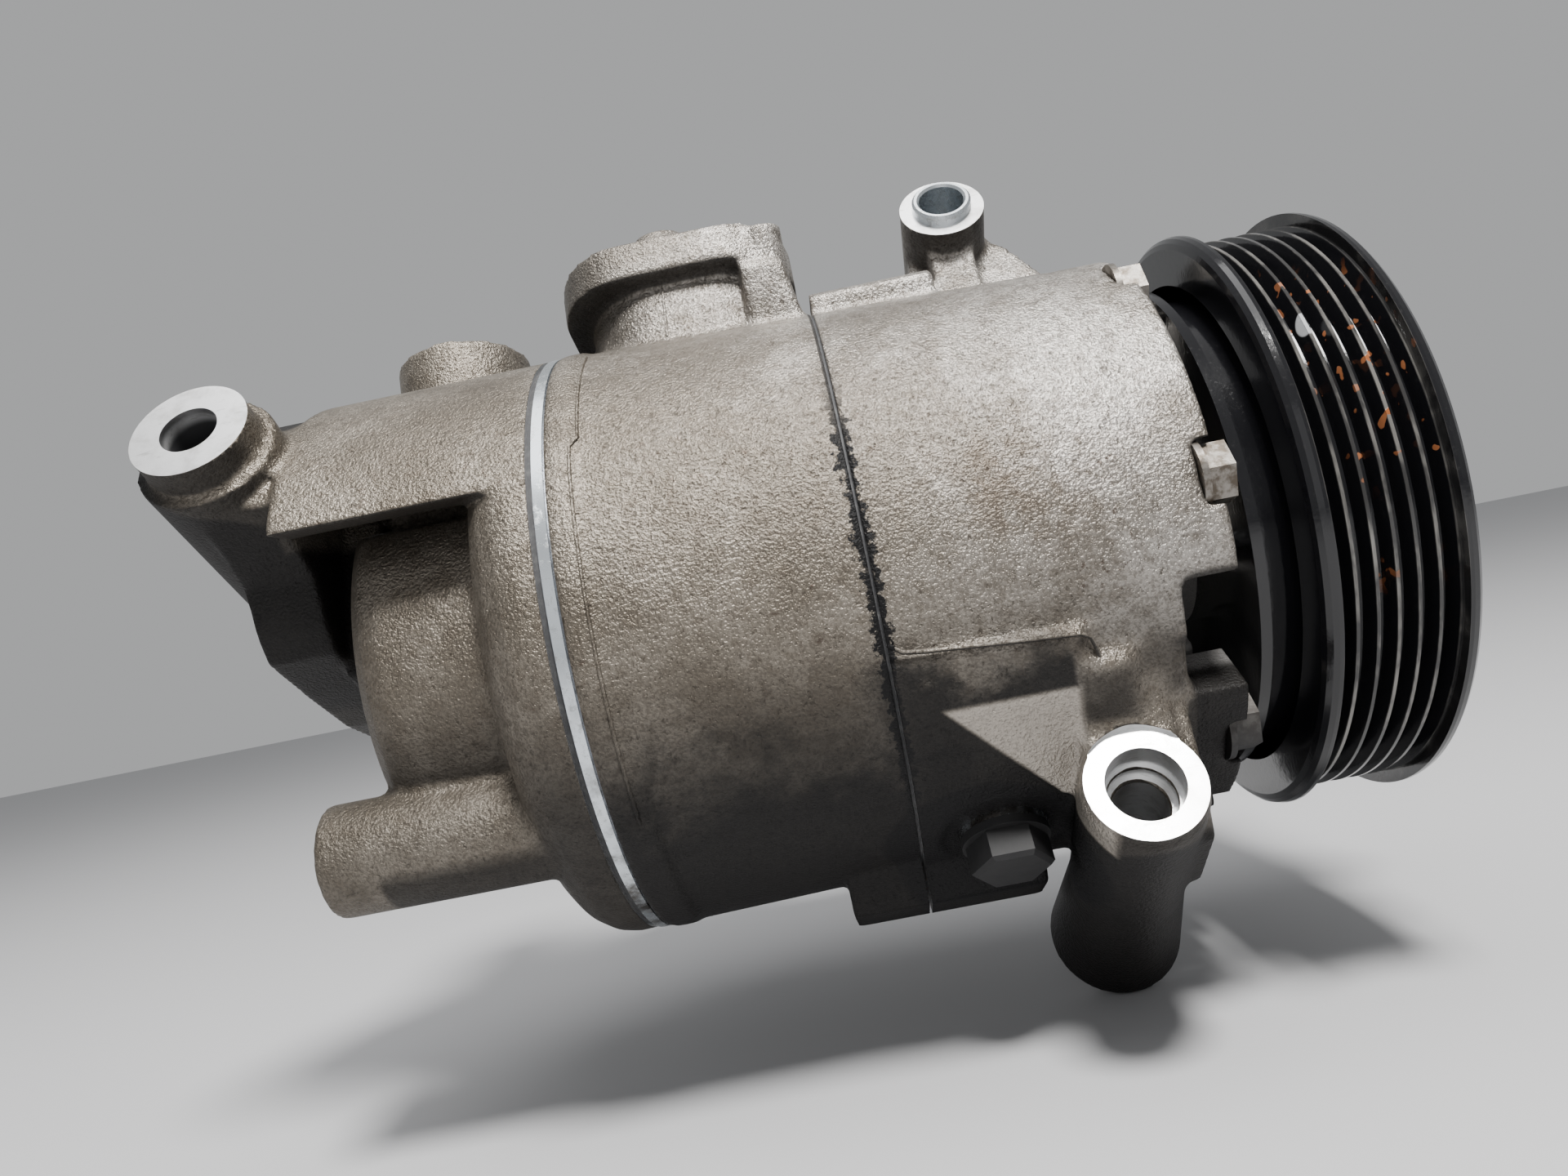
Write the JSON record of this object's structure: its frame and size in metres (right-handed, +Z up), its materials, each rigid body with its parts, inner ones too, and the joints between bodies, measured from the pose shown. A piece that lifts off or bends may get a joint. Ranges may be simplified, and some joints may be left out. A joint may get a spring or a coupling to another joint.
{
  "type": "air conditioning compressor",
  "caption": "Belt-driven car air conditioning compressor: ribbed pulley with magnetic clutch, cast aluminium body with mounting ears, manifold block, swash plate and pistons inside.",
  "frame": {"origin": "on the shaft axis, at the middle plane of the belt grooves", "axes": "+X along the shaft towards the pulley's front, +Z up, ears' bolts lie in planes square to X and lean 36 degrees up from -Y"},
  "size_m": [0.2431, 0.1286, 0.1826],
  "materials": {
    "cast_aluminium": "sand-blasted casting, oil stained",
    "zinc_steel": "zinc plated",
    "bolt_steel": "dulled plating",
    "spring_steel": "satin",
    "gasket": "oily coated sheet",
    "pulley_paint": "black gloss with worn rib crests",
    "black_plastic": "moulded resin",
    "bearing_steel": "ground",
    "seal_rubber": "matt",
    "shaft_steel": "turned",
    "valve_brass": "turned",
    "bronze_coat": "sintered bearing coat",
    "piston_aluminium": "turned and coated"
  },
  "bodies": {
    "root": {"front_housing": "cast_aluminium", "cylinder_block": "cast_aluminium", "rear_head": "cast_aluminium", "valve_plate": "zinc_steel", "suction_reed_plate": "spring_steel", "discharge_reed_plate": "spring_steel", "retainer_gasket": "gasket", "body_gasket": "gasket", "housing_bolts": "bolt_steel", "drain_plug": "bolt_steel", "drain_plug_washer": "zinc_steel", "top_ear_bush": "zinc_steel", "relief_valve_body": "bolt_steel", "relief_valve_spring": "spring_steel", "control_valve_body": "valve_brass", "control_valve_clip": "spring_steel", "field_coil_shell": "pulley_paint", "field_coil_winding": "black_plastic", "coil_connector": "black_plastic", "coil_circlip": "spring_steel", "bearing_circlip": "spring_steel", "bearing_inner_race": "bearing_steel", "shaft_seal": "seal_rubber", "seal_circlip": "spring_steel", "front_needle_bearing": "bearing_steel", "rear_needle_bearing": "bearing_steel", "front_thrust_bearing": "bearing_steel", "shaft_end_stop": "bearing_steel"},
    "pulley": {"pulley": "pulley_paint", "bearing_outer_race": "bearing_steel", "bearing_balls": "bearing_steel", "bearing_seals": "seal_rubber"},
    "shaft": {"drive_shaft": "shaft_steel", "rotor": "shaft_steel", "clutch_hub": "shaft_steel", "leaf_springs": "spring_steel", "hub_rivets": "bolt_steel", "hub_nut": "bolt_steel", "destroke_spring": "spring_steel", "return_spring": "spring_steel", "return_spring_clip": "spring_steel"},
    "armature": {"armature_plate": "shaft_steel"},
    "swash": {"swash_plate": "bronze_coat"},
    "relief_poppet": {"relief_valve_poppet": "shaft_steel"},
    "control_plunger": {"control_valve_plunger": "shaft_steel"},
    "piston_1": {"piston_1": "piston_aluminium"},
    "shoes_1": {"shoes_1": "bronze_coat"},
    "piston_2": {"piston_2": "piston_aluminium"},
    "shoes_2": {"shoes_2": "bronze_coat"},
    "piston_3": {"piston_3": "piston_aluminium"},
    "shoes_3": {"shoes_3": "bronze_coat"},
    "piston_4": {"piston_4": "piston_aluminium"},
    "shoes_4": {"shoes_4": "bronze_coat"},
    "piston_5": {"piston_5": "piston_aluminium"},
    "shoes_5": {"shoes_5": "bronze_coat"},
    "piston_6": {"piston_6": "piston_aluminium"},
    "shoes_6": {"shoes_6": "bronze_coat"},
    "piston_7": {"piston_7": "piston_aluminium"},
    "shoes_7": {"shoes_7": "bronze_coat"}
  },
  "joints": [
    {"name": "pulley_spin", "type": "hinge", "parent": "root", "child": "pulley", "pos_m": [0, 0, 0], "axis": [1, 0, 0], "continuous": true},
    {"name": "shaft_spin", "type": "hinge", "parent": "root", "child": "shaft", "pos_m": [0, 0, 0], "axis": [1, 0, 0], "continuous": true},
    {"name": "armature_pull", "type": "slide", "parent": "shaft", "child": "armature", "axis": [-1, 0, 0], "range_m": [0, 0.0005], "stiffness_N_per_m": 20000},
    {"name": "swash_tilt", "type": "hinge", "parent": "root", "child": "swash", "pos_m": [-0.085, -0.0185, 0.03204], "axis": [0, -0.866, -0.5], "range_deg": [0, 15], "stiffness_Nm_per_rad": 8},
    {"name": "relief_lift", "type": "slide", "parent": "root", "child": "relief_poppet", "axis": [0, 0.7331, 0.6802], "range_m": [0, 0.0015], "stiffness_N_per_m": 3000},
    {"name": "control_stroke", "type": "slide", "parent": "root", "child": "control_plunger", "axis": [1, 0, 0], "range_m": [0, 0.0012], "stiffness_N_per_m": 1500},
    {"name": "piston_1_stroke", "type": "slide", "parent": "root", "child": "piston_1", "axis": [1, 0, 0], "range_m": [0, 0.000977]},
    {"name": "shoes_1_swivel", "type": "hinge", "parent": "piston_1", "child": "shoes_1", "pos_m": [-0.085, -0.03057, 0.02084], "axis": [0, -0.866, -0.5], "range_deg": [0, 15.01]},
    {"name": "piston_2_stroke", "type": "slide", "parent": "root", "child": "piston_2", "axis": [1, 0, 0], "range_m": [0, 0.00766]},
    {"name": "shoes_2_swivel", "type": "hinge", "parent": "piston_2", "child": "shoes_2", "pos_m": [-0.085, -0.03536, -0.01091], "axis": [0, -0.866, -0.5], "range_deg": [0, 15.01]},
    {"name": "piston_3_stroke", "type": "slide", "parent": "root", "child": "piston_3", "axis": [1, 0, 0], "range_m": [0, 0.01599]},
    {"name": "shoes_3_swivel", "type": "hinge", "parent": "piston_3", "child": "shoes_3", "pos_m": [-0.085, -0.01352, -0.03444], "axis": [0, -0.866, -0.5], "range_deg": [0, 15.01]},
    {"name": "piston_4_stroke", "type": "slide", "parent": "root", "child": "piston_4", "axis": [1, 0, 0], "range_m": [0, 0.0197]},
    {"name": "shoes_4_swivel", "type": "hinge", "parent": "piston_4", "child": "shoes_4", "pos_m": [-0.085, 0.0185, -0.03204], "axis": [0, -0.866, -0.5], "range_deg": [0, 15.01]},
    {"name": "piston_5_stroke", "type": "slide", "parent": "root", "child": "piston_5", "axis": [1, 0, 0], "range_m": [0, 0.01599]},
    {"name": "shoes_5_swivel", "type": "hinge", "parent": "piston_5", "child": "shoes_5", "pos_m": [-0.085, 0.03659, -0.00551], "axis": [0, -0.866, -0.5], "range_deg": [0, 15.01]},
    {"name": "piston_6_stroke", "type": "slide", "parent": "root", "child": "piston_6", "axis": [1, 0, 0], "range_m": [0, 0.00766]},
    {"name": "shoes_6_swivel", "type": "hinge", "parent": "piston_6", "child": "shoes_6", "pos_m": [-0.085, 0.02712, 0.02517], "axis": [0, -0.866, -0.5], "range_deg": [0, 15.01]},
    {"name": "piston_7_stroke", "type": "slide", "parent": "root", "child": "piston_7", "axis": [1, 0, 0], "range_m": [0, 0.000977]},
    {"name": "shoes_7_swivel", "type": "hinge", "parent": "piston_7", "child": "shoes_7", "pos_m": [-0.085, -0.00277, 0.0369], "axis": [0, -0.866, -0.5], "range_deg": [0, 15.01]}
  ],
  "couplings": [
    {"joint": "piston_1_stroke", "follows": "swash_tilt", "m_per_rad": 0.0037264},
    {"joint": "shoes_1_swivel", "follows": "swash_tilt", "ratio": 1},
    {"joint": "piston_2_stroke", "follows": "swash_tilt", "m_per_rad": 0.029256},
    {"joint": "shoes_2_swivel", "follows": "swash_tilt", "ratio": 1},
    {"joint": "piston_3_stroke", "follows": "swash_tilt", "m_per_rad": 0.06109},
    {"joint": "shoes_3_swivel", "follows": "swash_tilt", "ratio": 1},
    {"joint": "piston_4_stroke", "follows": "swash_tilt", "m_per_rad": 0.075258},
    {"joint": "shoes_4_swivel", "follows": "swash_tilt", "ratio": 1},
    {"joint": "piston_5_stroke", "follows": "swash_tilt", "m_per_rad": 0.06109},
    {"joint": "shoes_5_swivel", "follows": "swash_tilt", "ratio": 1},
    {"joint": "piston_6_stroke", "follows": "swash_tilt", "m_per_rad": 0.029256},
    {"joint": "shoes_6_swivel", "follows": "swash_tilt", "ratio": 1},
    {"joint": "piston_7_stroke", "follows": "swash_tilt", "m_per_rad": 0.0037264},
    {"joint": "shoes_7_swivel", "follows": "swash_tilt", "ratio": 1}
  ]
}
